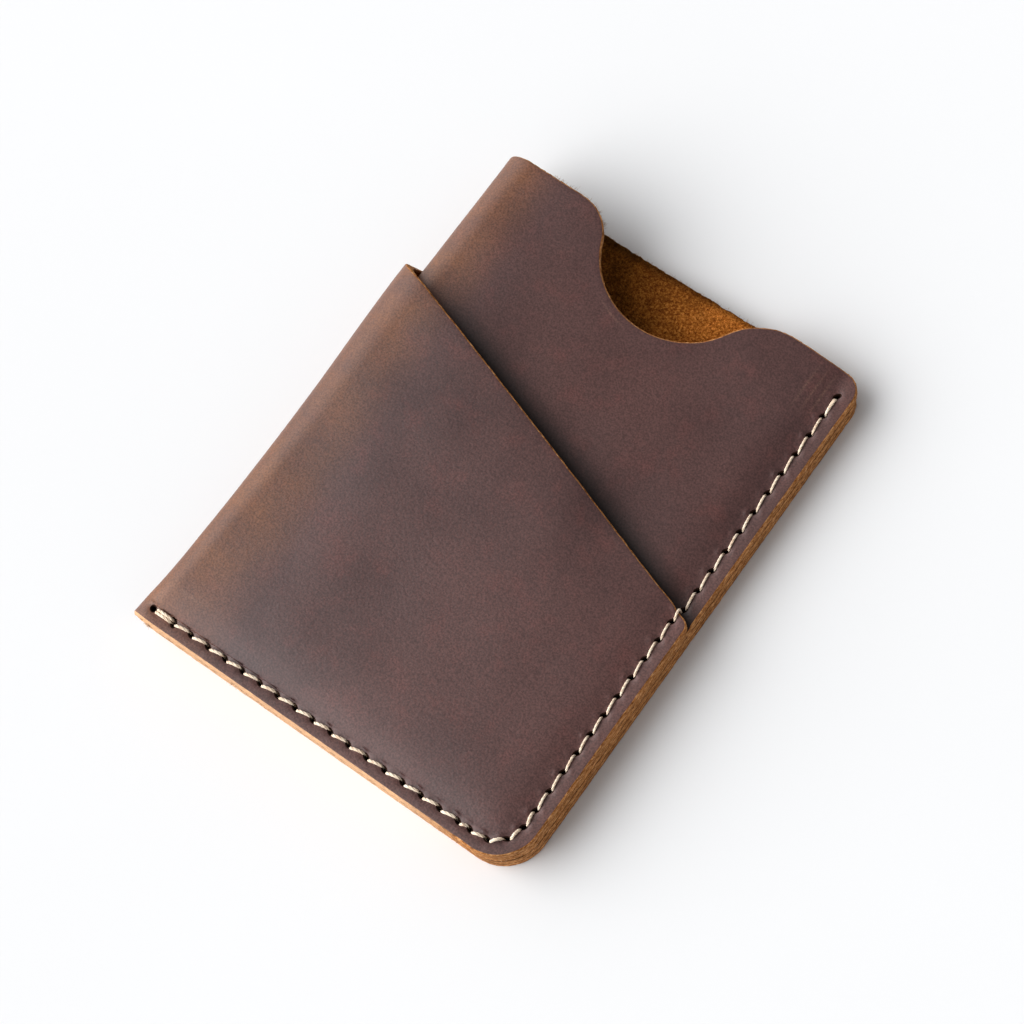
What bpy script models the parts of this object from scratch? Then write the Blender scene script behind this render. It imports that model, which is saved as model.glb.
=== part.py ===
"""Minimalist leather wallet, built the way it is made.

Two leather sheets are cut flat, folded at the left side and laid one inside the other, so that the
bottom and the right edge are four layers thick. One waxed thread, worked with two needles as a
saddle stitch, closes both edges. The inner sheet is the card sleeve with a thumb notch. The outer
sheet wraps it, and its single straight diagonal cut makes a pocket mouth on the front and another
on the back.

Frame: the wallet lies on its back, +X across to the sewn side, +Y up to the mouth, +Z out of the
front. Lengths below are millimetres from the folded bottom left corner; the finished objects are
moved so that the origin is the bottom centre of the whole wallet's box.
"""

import math

import bmesh
import bpy
from mathutils import Vector
from mathutils.geometry import delaunay_2d_cdt

MM = 0.001

# Overall size and leather
WIDTH = 76.0
FRONT_HEIGHT = 95.4      # top edge above the bottom edge, at the sewn side
BACK_HEIGHT = 94.8
FOLD_HEIGHT = 96.7       # the same edge at the fold: the cut runs out of square
TOP_EDGE_STATIONS = (11.0, 0.0, -11.0, -22.0, -38.0, -54.0)     # where the curved edge gets a corner
LEATHER = 1.65
BOND = 0.2               # glue line between two layers
LAYER = LEATHER + BOND

# Outline radii
BOTTOM_CORNER = 7.5
TOP_CORNER = 3.5
POCKET_TIP = 1.8

# Thumb notch in the sleeve's front
NOTCH_X = 41.1
NOTCH_BOTTOM = 83.0
NOTCH_R = 13.9
RIGHT_SHOULDER_R = 11.0
LEFT_SHOULDER_R = 7.5

# Diagonal cut of the outer sheet: height at the stitch row, and rise per millimetre of leather
MOUTH_Y = 47.9
MOUTH_SLOPE = 1 / 3

# Saddle stitch, worked by hand: closer through the four layers than through the three above them
BOTTOM_INSET = 2.3
SIDE_INSET = 2.55
ROW_CORNER = 5.2
PITCH = 3.58
FIRST_HOLE_X = 2.9
SECOND_HOLE_X = 7.2
BOTTOM_STITCHES = 16     # after the long first one
CORNER_FIRST = 2.3       # a short stitch as the row starts to turn
CORNER_STITCHES = 4      # share what is left around the corner
SIDE_FIRST_HOLE_Y = 10.3
LOWER_STITCHES = 10
UPPER_FIRST_HOLE_Y = 48.95
UPPER_PITCH = 3.84
UPPER_STITCHES = 11
THREAD_R = 0.28
FRONT_TILT = math.radians(30)   # a slit's lean from the row on the front, and on the back
BACK_TILT = math.radians(73)
LOCK_TILT = math.radians(62)    # the lean of the slits at a doubled stitch
SLIT_HALF_WIDTH = 0.36
PASS_OFFSET = 0.35       # each strand's distance from the middle of a slit
LOCK_OFFSET = 0.68       # the same where three passes share a slit
RUN_EASE = 0.3           # how far from a hole a strand lies flat again
FRONT_LIFT = THREAD_R + 0.05    # a strand's middle above the front's leather
BACK_LEVEL = THREAD_R + 0.08    # its middle in the back's groove
BACK_RIM = BACK_LEVEL + 0.3
STUB_DEPTH = 1.5
BLADE_MARGIN = 0.3              # how far a blade reaches out of the leather, as a share of its depth
GROOVE_HALF_WIDTH = 0.7
GROOVE_DEPTH = 0.75

# Formed shape
SEAM = 3.2               # flat, pressed band along the sewn edges
SLEEVE_BACK_Z = LEATHER / 2 + LAYER
SLEEVE_FRONT_Z = SLEEVE_BACK_Z + LAYER
PILLOW = 1.2             # quick rise just inside the stitches
PILLOW_WIDTH = 3.0
WEDGE = 6.6              # slow rise towards the open, folded corner
WEDGE_FLAT_X = 12.0      # the rise is complete on this side of it
GAPE = 1.6               # how far the pocket stands off at its mouth
GAPE_DEPTH = 24.0
GAPE_REACH = 28.0

# Pattern coordinate q: the distance from the fold as seen in plan, positive on the front and
# negative on the back. Within FOLD_ZONE of the fold it follows the bend instead, and within
# BEND_ZONE it measures the bend's angle.
FOLD_ZONE = 16.0
BEND_ZONE = 6.0
BEND_CENTRE_X = LEATHER / 2 + LAYER + LAYER / 2
BEND_SHIFT = 1.9         # how far the bend's centre moves in for each millimetre of radius
FLARE = 0.8              # how far the seam squeezes the fold out at its lower end
FLARE_REACH = 8.0


def ramp(distance):
    """0 outside the seam band, levelling off at 1 a few millimetres inside it."""
    t = max(distance, 0.0) / PILLOW_WIDTH
    return t * t / (1 + t * t)


def front_height(x, y):
    """Height of the middle of the sleeve's front panel."""
    pillow = PILLOW * ramp(y - SEAM) * ramp(WIDTH - SEAM - x)
    along = min(max((y - SEAM) / (FOLD_HEIGHT - SEAM), 0.0), 1.0)
    across = (x - WEDGE_FLAT_X) / (WIDTH - SEAM - WEDGE_FLAT_X)
    across = min(max(across, 0.0), 1.0)
    wedge = WEDGE * along * (1.5 - 0.5 * along) * (1 - across) ** 2.3 * (1 + 2.3 * across)
    return SLEEVE_FRONT_Z + pillow + wedge


def bend(y):
    """Radius and centre of the sleeve's fold at one height."""
    radius = (front_height(BEND_CENTRE_X, y) - SLEEVE_BACK_Z) / 2
    flare = FLARE * math.exp(-max(y, 0.0) / FLARE_REACH)
    return radius, BEND_CENTRE_X + BEND_SHIFT * (radius - LAYER / 2) - flare


def middle(q, y):
    """Point on the middle surface of the folded sleeve."""
    if q >= FOLD_ZONE:
        return Vector((q, y, front_height(q, y)))
    if q <= -FOLD_ZONE:
        return Vector((-q, y, SLEEVE_BACK_Z))
    radius, centre = bend(y)
    if abs(q) > BEND_ZONE:
        x = centre + (FOLD_ZONE - centre) * (abs(q) - BEND_ZONE) / (FOLD_ZONE - BEND_ZONE)
        return Vector((x, y, front_height(x, y) if q > 0 else SLEEVE_BACK_Z))
    angle = math.pi / 2 * q / BEND_ZONE
    top = front_height(centre, y)
    radius = (top - SLEEVE_BACK_Z) / 2
    return Vector((centre - radius * math.cos(angle), y, top - radius + radius * math.sin(angle)))


def formed(q, y, offset):
    """Point at a distance from the middle surface, measured along its outward normal."""
    step = 0.05
    along_q = middle(q + step, y) - middle(q - step, y)
    along_y = middle(q, y + step) - middle(q, y - step)
    return middle(q, y) + along_q.cross(along_y).normalized() * offset


def mouth_height(q):
    """Height of the outer sheet's diagonal cut, straight in the flat leather."""
    side = WIDTH - SIDE_INSET
    height = MOUTH_Y + MOUTH_SLOPE * (side - max(q, FOLD_ZONE))
    radius, centre = bend(height)
    straight = MOUTH_SLOPE * (FOLD_ZONE - centre)
    around = MOUTH_SLOPE * math.pi / 2 * (radius + LAYER + GAPE / 2)
    run = FOLD_ZONE - BEND_ZONE
    height += straight * min(max((FOLD_ZONE - q) / run, 0.0), 1.0)
    height += around * min(max((BEND_ZONE - q) / BEND_ZONE, 0.0), 2.0)
    height += straight * min(max((-BEND_ZONE - q) / run, 0.0), 1.0)
    return height + MOUTH_SLOPE * max(-FOLD_ZONE - q, 0.0)


def gape(q, y):
    """Extra gap between the sleeve and the pocket, widest at the pocket's mouth. There is none on
    the back, which lies flat."""
    if q <= -BEND_ZONE:
        return 0.0
    across = min(max((WIDTH - SEAM - q) / GAPE_REACH, 0.0), 1.0)
    across = across * across * (3 - 2 * across)
    if q < BEND_ZONE:
        around = (q + BEND_ZONE) / (2 * BEND_ZONE)
        across *= around * around * (3 - 2 * around)
    below = max(mouth_height(q) - y, 0.0) / GAPE_DEPTH
    return GAPE * across * math.exp(-below * below)


def top_height(q):
    """Height of the sheets' top edge."""
    inward = 1 - min(abs(q) / WIDTH, 1.0)
    if q >= 0:
        return FRONT_HEIGHT + (FOLD_HEIGHT - FRONT_HEIGHT) * inward
    return BACK_HEIGHT + (FOLD_HEIGHT - BACK_HEIGHT) * inward**3


def arc(centre_x, centre_y, radius, start, end, steps):
    """Points of a circular arc, from one angle to another in degrees."""
    angles = [math.radians(start + (end - start) * i / steps) for i in range(steps + 1)]
    return [(centre_x + radius * math.cos(a), centre_y + radius * math.sin(a)) for a in angles]


def bottom_edge():
    """The bottom edge of either sheet from the back's sewn side to the front's, corners rounded."""
    centre = WIDTH - BOTTOM_CORNER
    back = arc(-centre, BOTTOM_CORNER, BOTTOM_CORNER, 180, 270, 6)
    return back + arc(centre, BOTTOM_CORNER, BOTTOM_CORNER, 270, 360, 6)


def notch():
    """The thumb notch's outline, right shoulder to left shoulder."""
    centre_y = NOTCH_BOTTOM + NOTCH_R
    shoulders = []
    for side, radius in ((1, RIGHT_SHOULDER_R), (-1, LEFT_SHOULDER_R)):
        y = top_height(NOTCH_X + side * (NOTCH_R + radius) * 0.9) - radius
        reach = math.sqrt((NOTCH_R + radius) ** 2 - (centre_y - y) ** 2)
        lean = math.degrees(math.atan2(centre_y - y, reach))
        shoulders.append((NOTCH_X + side * reach, y, lean))
    (right_x, right_y, right_lean), (left_x, left_y, left_lean) = shoulders
    right = arc(right_x, right_y, RIGHT_SHOULDER_R, 90, 180 - right_lean, 7)
    bottom = arc(NOTCH_X, centre_y, NOTCH_R, -right_lean, -180 + left_lean, 14)
    left = arc(left_x, left_y, LEFT_SHOULDER_R, left_lean, 90, 6)
    return right + bottom[1:-1] + left


def top_corner(side):
    """A rounded top corner at the front's (1) or the back's (-1) sewn side."""
    centre = side * (WIDTH - TOP_CORNER)
    y = top_height(side * WIDTH) - TOP_CORNER
    return arc(centre, y, TOP_CORNER, 0, 90, 4) if side > 0 else arc(centre, y, TOP_CORNER, 90, 180, 4)


def sleeve_outline():
    top = [(q, top_height(q)) for q in TOP_EDGE_STATIONS]
    return bottom_edge() + top_corner(1) + notch() + top + top_corner(-1)


def wrap_outline():
    """The outer sheet: its diagonal cut runs from the pocket's tip round the fold to the back."""
    tip_angle = math.degrees(math.atan(MOUTH_SLOPE))
    tip_x = WIDTH - POCKET_TIP
    tip_y = mouth_height(tip_x) - POCKET_TIP * 1.05
    tip = arc(tip_x, tip_y, POCKET_TIP, 0, 90 - tip_angle, 4)
    fold = [(q, mouth_height(q)) for q in (FOLD_ZONE, BEND_ZONE, -BEND_ZONE, -FOLD_ZONE)]
    q = -FOLD_ZONE
    while mouth_height(q) < top_height(q):
        q -= 0.05
    return bottom_edge() + tip + fold + [(q, top_height(q))] + top_corner(-1)


def fine_outline(corners):
    """The outline with extra points where the leather is bent, close enough for smooth edges."""
    points = []
    for (x0, y0), (x1, y1) in zip(corners, corners[1:] + corners[:1]):
        points.append((x0, y0))
        cuts = {x for x in grid_columns() if min(x0, x1) + 0.3 < x < max(x0, x1) - 0.3}
        for x in sorted(cuts, reverse=x1 < x0):
            t = (x - x0) / (x1 - x0)
            points.append((x, y0 + (y1 - y0) * t))
        if abs(x1 - x0) < 0.3 and x0 > FOLD_ZONE:
            rows = {y for y in grid_rows() if min(y0, y1) + 0.3 < y < max(y0, y1) - 0.3}
            points += [(x0, y) for y in sorted(rows, reverse=y1 < y0)]
    return points


def grid_columns():
    """Values of q where the pattern gets a line of points: close in the bend and beside the seam."""
    bend_steps = 10
    columns = [BEND_ZONE * (2 * i / bend_steps - 1) for i in range(bend_steps + 1)]
    columns += [-FOLD_ZONE, 11.0, FOLD_ZONE]
    columns += [22.0, 30.0, 38.0, 46.0, 54.0, 61.0]
    return columns + [WIDTH - SEAM - d for d in (8.0, 5.2, 3.2, 1.9, 0.9)]


def grid_rows():
    near = [SEAM + d for d in (0.9, 1.9, 3.2, 5.2, 8.5, 13.0)]
    return near + [24.0, 34.0, 45.0, 56.0, 67.0, 77.0, 86.0, 92.0]


def inside(point, outline):
    """True for a point within the outline, by counting the edges to its right."""
    x, y = point
    odd = False
    for (x0, y0), (x1, y1) in zip(outline, outline[1:] + outline[:1]):
        if (y0 > y) != (y1 > y) and x < x0 + (x1 - x0) * (y - y0) / (y1 - y0):
            odd = not odd
    return odd


def clear_of(point, outline, distance):
    return all(math.dist(point, corner) > distance for corner in outline)


def sleeve_offset(q, y):
    """Distance of the sleeve's flesh side from the middle surface."""
    return -LEATHER / 2


def wrap_offset(q, y):
    """The same for the outer sheet."""
    return LEATHER / 2 + BOND + gape(q, y)


def leather(name, corners, inner_offset, colour):
    """A closed sheet of leather: the flat pattern, given its thickness and folded."""
    outline = fine_outline(corners)
    grid = [(q, y) for q in grid_columns() for y in grid_rows()]
    grid = [p for p in grid if inside(p, outline) and clear_of(p, outline, 0.8)]
    count = len(outline)
    edges = [(i, (i + 1) % count) for i in range(count)]
    flat, _, faces = delaunay_2d_cdt([Vector(p) for p in outline + grid], edges, [], 1, 1e-6)[:3]

    build = bmesh.new()
    sides = []
    for thickness in (0.0, LEATHER):
        side = []
        for q, y in flat:
            offset = inner_offset(q, y) + thickness
            side.append(build.verts.new(formed(q, y, offset) * MM))
        sides.append(side)
    flesh, grain = sides
    for face in faces:
        build.faces.new([grain[i] for i in face])
        build.faces.new([flesh[i] for i in reversed(face)])
    for edge in [e for e in build.edges if e.is_boundary and e.verts[0] in set(grain)]:
        a, b = (grain.index(v) for v in edge.verts)
        if edge.link_loops[0].vert is grain[b]:
            a, b = b, a
        build.faces.new([grain[b], grain[a], flesh[a], flesh[b]])
    bmesh.ops.recalc_face_normals(build, faces=build.faces)
    return finished(name, build, colour)


def finished(name, build, colour):
    """Turn a bmesh into a named, shaded object with its own material."""
    mesh = bpy.data.meshes.new(name)
    build.to_mesh(mesh)
    build.free()
    mesh.shade_smooth()
    mesh.set_sharp_from_angle(angle=math.radians(35))
    mesh.materials.append(material(name, colour))
    part = bpy.data.objects.new(name, mesh)
    bpy.context.collection.objects.link(part)
    return part


def material(name, colour, roughness=0.6):
    made = bpy.data.materials.new(name)
    made.use_nodes = True
    shader = made.node_tree.nodes["Principled BSDF"]
    shader.inputs["Base Color"].default_value = (*colour, 1)
    shader.inputs["Roughness"].default_value = roughness
    shader.inputs["Metallic"].default_value = 0
    return made


def row_length():
    """Length of the stitch row's bottom run and of its corner arc."""
    return WIDTH - SIDE_INSET - ROW_CORNER, math.pi / 2 * ROW_CORNER


def row_point(distance):
    """Place and direction on the stitch row, measured from below the fold and round the corner."""
    bottom, corner = row_length()
    if distance <= bottom:
        return Vector((distance, BOTTOM_INSET)), Vector((1, 0))
    side_start = BOTTOM_INSET + ROW_CORNER
    if distance >= bottom + corner:
        return Vector((WIDTH - SIDE_INSET, side_start + distance - bottom - corner)), Vector((0, 1))
    angle = (distance - bottom) / ROW_CORNER
    x = bottom + ROW_CORNER * math.sin(angle)
    y = side_start - ROW_CORNER * math.cos(angle)
    return Vector((x, y)), Vector((math.cos(angle), math.sin(angle)))


def evenly(first, pitch, stitches):
    return [first + pitch * i for i in range(stitches + 1)]


def stitch_holes():
    """Distances of the holes along the row, from the fold round to the mouth."""
    bottom, corner = row_length()
    to_side = bottom + corner - BOTTOM_INSET - ROW_CORNER
    along_bottom = evenly(SECOND_HOLE_X, PITCH, BOTTOM_STITCHES)
    turn = along_bottom[-1] + CORNER_FIRST
    step = (to_side + SIDE_FIRST_HOLE_Y - turn) / CORNER_STITCHES
    around = evenly(turn, step, CORNER_STITCHES - 1)
    lower = evenly(to_side + SIDE_FIRST_HOLE_Y, PITCH, LOWER_STITCHES)
    upper = evenly(to_side + UPPER_FIRST_HOLE_Y, UPPER_PITCH, UPPER_STITCHES)
    return [FIRST_HOLE_X] + along_bottom + around + lower + upper


def slit_point(index, offset, tilt):
    """A point in a slit: an offset from its middle along its long axis, which leans outwards."""
    place, direction = row_point(stitch_holes()[index])
    outward = Vector((direction.y, -direction.x))
    return place + (direction * math.cos(tilt) + outward * math.sin(tilt)) * offset


def front_tilt(index):
    """The lean of a slit on the front, steeper at the doubled stitches."""
    locked = index < 2 or index > len(stitch_holes()) - 3
    return LOCK_TILT if locked else FRONT_TILT


def slit_outline(index, reach, tilt):
    """The four corners of a slit, and so of the awl blade that pierces it."""
    a, b = slit_point(index, -reach, tilt), slit_point(index, reach, tilt)
    across = (b - a).normalized().orthogonal() * SLIT_HALF_WIDTH
    return [a + across, a - across, b - across, b + across]


def cutter_object(name, stacks):
    """A cutter made of upright bodies, each a stack of outlines with their heights."""
    build = bmesh.new()
    for stack in stacks:
        rings = []
        for outline, height in stack:
            rings.append([build.verts.new((x * MM, y * MM, height * MM)) for x, y in outline])
        build.faces.new(rings[0])
        build.faces.new(rings[-1])
        for lower, upper in zip(rings, rings[1:]):
            for i, corner in enumerate(lower):
                build.faces.new((lower[i - 1], corner, upper[i], upper[i - 1]))
    bmesh.ops.triangulate(build, faces=build.faces)
    bmesh.ops.recalc_face_normals(build, faces=build.faces)
    cutter = finished(name, build, (0.5, 0.5, 0.5))
    cutter.hide_render = True
    cutter.display_type = "WIRE"
    return cutter


def awl_blades():
    """One blade for each stitch hole, wider where a doubled stitch locks the row. A blade turns
    towards the back, so that the strands lie side by side in the groove."""
    last = len(stitch_holes()) - 1
    blades = []
    for index in range(last + 1):
        reach = (LOCK_OFFSET if index in (1, last - 1) else PASS_OFFSET) + SLIT_HALF_WIDTH
        front = slit_outline(index, reach, front_tilt(index))
        back = slit_outline(index, PASS_OFFSET + SLIT_HALF_WIDTH, BACK_TILT)
        top = surface_height(index)
        margin = BLADE_MARGIN * (top - BACK_RIM)
        lowest, highest = beyond(front, back), beyond(back, front)
        blades.append([(lowest, BACK_RIM - margin), (highest, top + margin)])
    return cutter_object("awl_blades", blades)


def beyond(start, end):
    """An outline carried on past its second place, in line with the first."""
    return [b + (b - a) * BLADE_MARGIN for a, b in zip(start, end)]


def stitch_groove():
    """The groove cut into the back's face so that the stitches lie below it."""
    holes = stitch_holes()
    bottom, corner = row_length()
    bends = [bottom + corner * i / 6 for i in range(7)]
    stations = [holes[0] - 1] + bends + [holes[-1] + 1]
    sides = {1: [], -1: []}
    for distance in stations:
        place, direction = row_point(distance)
        outward = Vector((direction.y, -direction.x)) * GROOVE_HALF_WIDTH
        sides[1].append(place + outward)
        sides[-1].append(place - outward)
    outline = sides[1] + sides[-1][::-1]
    return cutter_object("stitch_groove", [[(outline, -1), (outline, GROOVE_DEPTH)]])


def cut(part, cutter):
    modifier = part.modifiers.new(cutter.name, "BOOLEAN")
    modifier.operation = "DIFFERENCE"
    modifier.solver = "EXACT"
    modifier.object = cutter


def surface_height(index):
    """Height of the face that carries the stitches: the pocket's up to its mouth, then the sleeve's."""
    place, _ = row_point(stitch_holes()[index])
    layers = 4 if place.y < MOUTH_Y else 3
    return layers * LAYER - BOND


def run_points(a, b, rim_a, rim_b, level_a, level_b):
    """Out of one slit, along the leather and down the next."""
    ease = (b - a).normalized() * RUN_EASE
    return [(*a, rim_a), (*(a + ease), level_a), (*(b - ease), level_b), (*b, rim_b)]


def front_run(start, end, leave, arrive):
    """A strand's path over the front. At the pocket's edge it drops to the sleeve."""
    a, b = slit_point(start, leave, front_tilt(start)), slit_point(end, arrive, front_tilt(end))
    za, zb = surface_height(start), surface_height(end)
    points = run_points(a, b, za + 0.02, zb + 0.02, za + FRONT_LIFT, zb + FRONT_LIFT)
    if za > zb:
        ease = (b - a).normalized() * RUN_EASE
        points[2:2] = [(*(b - 1.4 * ease), za + FRONT_LIFT), (*(b - ease), za - THREAD_R)]
    return points


def back_run(start):
    """The path inside the groove of the back, from one slit to the next."""
    a = slit_point(start, -PASS_OFFSET, BACK_TILT)
    b = slit_point(start + 1, PASS_OFFSET, BACK_TILT)
    return run_points(a, b, BACK_RIM, BACK_RIM, BACK_LEVEL, BACK_LEVEL)


def stub(index, offset):
    """The end of a strand, hidden in its slit."""
    return [(*slit_point(index, offset, front_tilt(index)), surface_height(index) - STUB_DEPTH)]


def strand_paths():
    """The two halves of the thread. They take turns on the front, and lie side by side there on
    the first and the last stitch, where the row is locked."""
    last = len(stitch_holes()) - 1
    leave = [PASS_OFFSET] * last
    arrive = [-PASS_OFFSET] * (last + 1)
    leave[1], leave[last - 1] = LOCK_OFFSET, 0.0
    arrive[1], arrive[last - 1] = 0.0, -LOCK_OFFSET

    first = stub(1, -LOCK_OFFSET) + front_run(1, 0, -LOCK_OFFSET, -PASS_OFFSET) + back_run(0)
    second = stub(0, PASS_OFFSET) + front_run(0, 1, PASS_OFFSET, arrive[1])
    for index in range(1, last):
        first += front_run(index, index + 1, leave[index], arrive[index + 1])
        second += back_run(index)
        first, second = second, first
    first += front_run(last, last - 1, PASS_OFFSET, LOCK_OFFSET) + stub(last - 1, LOCK_OFFSET)
    second += stub(last, -PASS_OFFSET)
    return first, second


def strand(name, points, colour):
    """A strand of thread as a round tube along its path."""
    curve = bpy.data.curves.new(name, "CURVE")
    curve.dimensions = "3D"
    curve.bevel_depth = THREAD_R * MM
    curve.bevel_resolution = 1
    curve.use_fill_caps = True
    spline = curve.splines.new("POLY")
    spline.points.add(len(points) - 1)
    for target, place in zip(spline.points, points):
        target.co = (*(value * MM for value in place), 1)
    curve.materials.append(material(name, colour))
    part = bpy.data.objects.new(name, curve)
    bpy.context.collection.objects.link(part)
    return part


def centre_on_base(parts):
    """Move the parts so that the origin is the bottom centre of the leather's box."""
    bpy.context.view_layer.update()
    corners = [part.matrix_world @ Vector(c) for part in parts for c in part.bound_box]
    low = [min(c[axis] for c in corners) for axis in range(3)]
    high = [max(c[axis] for c in corners) for axis in range(3)]
    move = Vector((-(low[0] + high[0]) / 2, -(low[1] + high[1]) / 2, -low[2]))
    for part in bpy.data.objects:
        part.location += move


def main():
    for old in list(bpy.data.objects):
        bpy.data.objects.remove(old, do_unlink=True)
    sleeve = leather("inner_sleeve", sleeve_outline(), sleeve_offset, (0.13, 0.075, 0.06))
    wrap = leather("outer_wrap", wrap_outline(), wrap_offset, (0.15, 0.085, 0.065))
    blades = awl_blades()
    cut(sleeve, blades)
    cut(wrap, blades)
    cut(wrap, stitch_groove())
    for name, points in zip(("thread_strand_first", "thread_strand_second"), strand_paths()):
        strand(name, points, (0.85, 0.7, 0.5))
    centre_on_base([sleeve, wrap])


main()
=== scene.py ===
"""Looks of the minimalist leather wallet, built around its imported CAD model.

Each leather sheet is drawn as a flat pattern, given its thickness, its worn cut edge and its awl
holes, and folded by the same surface as the CAD sheet. The two strands of the saddle stitch are
three twisted plies each. Lengths are millimetres from the folded bottom left corner, with +X across
to the sewn side, +Y up to the mouth and +Z out of the front.
"""

import math
import random

import bpy
import numpy as np
from mathutils import Euler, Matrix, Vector, noise
from mathutils.geometry import delaunay_2d_cdt


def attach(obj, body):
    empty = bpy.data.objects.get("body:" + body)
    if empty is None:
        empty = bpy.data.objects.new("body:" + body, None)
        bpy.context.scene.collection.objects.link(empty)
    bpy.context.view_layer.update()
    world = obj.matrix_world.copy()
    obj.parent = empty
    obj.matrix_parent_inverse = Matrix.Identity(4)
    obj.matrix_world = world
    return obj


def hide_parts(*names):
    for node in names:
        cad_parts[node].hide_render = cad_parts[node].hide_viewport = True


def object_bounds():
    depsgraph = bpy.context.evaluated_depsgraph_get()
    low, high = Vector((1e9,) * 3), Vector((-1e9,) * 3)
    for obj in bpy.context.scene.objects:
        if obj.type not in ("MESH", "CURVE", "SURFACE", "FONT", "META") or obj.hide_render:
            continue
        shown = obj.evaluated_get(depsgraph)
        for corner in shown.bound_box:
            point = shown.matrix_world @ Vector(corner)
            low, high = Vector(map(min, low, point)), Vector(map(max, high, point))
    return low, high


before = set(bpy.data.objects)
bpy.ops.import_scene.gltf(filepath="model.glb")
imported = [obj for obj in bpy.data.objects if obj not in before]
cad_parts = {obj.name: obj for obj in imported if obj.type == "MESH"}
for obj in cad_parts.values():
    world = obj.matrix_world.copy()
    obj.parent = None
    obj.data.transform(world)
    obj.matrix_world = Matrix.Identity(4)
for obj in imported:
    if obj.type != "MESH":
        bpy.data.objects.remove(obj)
CAD_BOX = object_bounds()

MM = 0.001

# Size and leather, as in the CAD
WIDTH = 76.0
FRONT_HEIGHT = 95.4
BACK_HEIGHT = 94.8
FOLD_HEIGHT = 96.7
LEATHER = 1.65
BOND = 0.2
LAYER = LEATHER + BOND
SEAM_GAP = 0.03          # what the glue line shrinks to in the finished edge
SLEEVE_HALF = LEATHER / 2 + (BOND - SEAM_GAP) / 2
BOTTOM_CORNER = 7.5
TOP_CORNER = 3.5
POCKET_TIP = 1.8

# Thumb notch and diagonal cut
NOTCH_X = 41.1
NOTCH_BOTTOM = 83.0
NOTCH_R = 13.9
RIGHT_SHOULDER_R = 11.0
LEFT_SHOULDER_R = 7.5
MOUTH_Y = 47.9
MOUTH_SLOPE = 1 / 3

# Saddle stitch
BOTTOM_INSET = 2.3
SIDE_INSET = 2.55
ROW_CORNER = 5.2
PITCH = 3.58
FIRST_HOLE_X = 2.9
SECOND_HOLE_X = 7.2
BOTTOM_STITCHES = 16
CORNER_FIRST = 2.3
CORNER_STITCHES = 4
SIDE_FIRST_HOLE_Y = 10.3
LOWER_STITCHES = 10
UPPER_FIRST_HOLE_Y = 48.95
UPPER_PITCH = 3.84
UPPER_STITCHES = 11
THREAD_R = 0.27
FRONT_TILT = math.radians(22)
BACK_TILT = math.radians(73)
LOCK_TILT = math.radians(62)
SLIT_LENGTH = 0.58       # half of a slit's length and width
SLIT_WIDTH = 0.27
END_HOLES = {0: (0.44, 0.38), 1: (0.80, 0.34)}   # the same for the first holes
PASS_OFFSET = 0.35
LOCK_OFFSET = 0.68
BACK_LEVEL = 0.36
BACK_RIM = 0.66
CHANNEL_DEPTH = 0.66     # of the groove that the back's stitches lie in
PIT_DEPTH = 0.23         # how the pulled thread shapes the front's leather at each hole
PUCKER = 0.17
RIDGE = 0.06
BED_DEPTH = 0.08

# Formed shape
SEAM = 3.2
SLEEVE_BACK_Z = LEATHER / 2 + LAYER
SLEEVE_FRONT_Z = SLEEVE_BACK_Z + LAYER
PILLOW = 1.2
PILLOW_WIDTH = 3.0
WEDGE = 6.6
WEDGE_FLAT_X = 12.0
GAPE = 1.6
GAPE_DEPTH = 24.0
GAPE_REACH = 28.0

# Pattern coordinate q: the distance from the fold as seen in plan, positive on the front and
# negative on the back. Within FOLD_ZONE of the fold it follows the bend instead, and within
# BEND_ZONE it measures the bend's angle.
FOLD_ZONE = 16.0
BEND_ZONE = 6.0
BEND_CENTRE_X = LEATHER / 2 + LAYER + LAYER / 2
BEND_SHIFT = 1.9
FLARE = 0.8
FLARE_REACH = 8.0

ORIGIN = Vector((CAD_BOX[1].x / MM - WIDTH, CAD_BOX[0].y / MM, CAD_BOX[0].z / MM))


# ---------------------------------------------------------------- formed surface

def ease(t):
    """0 to 1, smoothly."""
    t = np.clip(t, 0.0, 1.0)
    return t * t * (3 - 2 * t)


def ramp(distance):
    """0 outside the seam band, levelling off at 1 a few millimetres inside it."""
    t = np.maximum(distance, 0.0) / PILLOW_WIDTH
    return t * t / (1 + t * t)


def front_height(x, y):
    """Height of the middle of the sleeve's front panel."""
    pillow = PILLOW * ramp(y - SEAM) * ramp(WIDTH - SEAM - x)
    along = np.clip((y - SEAM) / (FOLD_HEIGHT - SEAM), 0.0, 1.0)
    across = np.clip((x - WEDGE_FLAT_X) / (WIDTH - SEAM - WEDGE_FLAT_X), 0.0, 1.0)
    wedge = WEDGE * along * (1.5 - 0.5 * along) * (1 - across) ** 2.3 * (1 + 2.3 * across)
    return SLEEVE_FRONT_Z + pillow + wedge


def bend(y):
    """Radius and centre of the sleeve's fold."""
    radius = (front_height(BEND_CENTRE_X, y) - SLEEVE_BACK_Z) / 2
    flare = FLARE * np.exp(-np.maximum(y, 0.0) / FLARE_REACH)
    return radius, BEND_CENTRE_X + BEND_SHIFT * (radius - LAYER / 2) - flare


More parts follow.
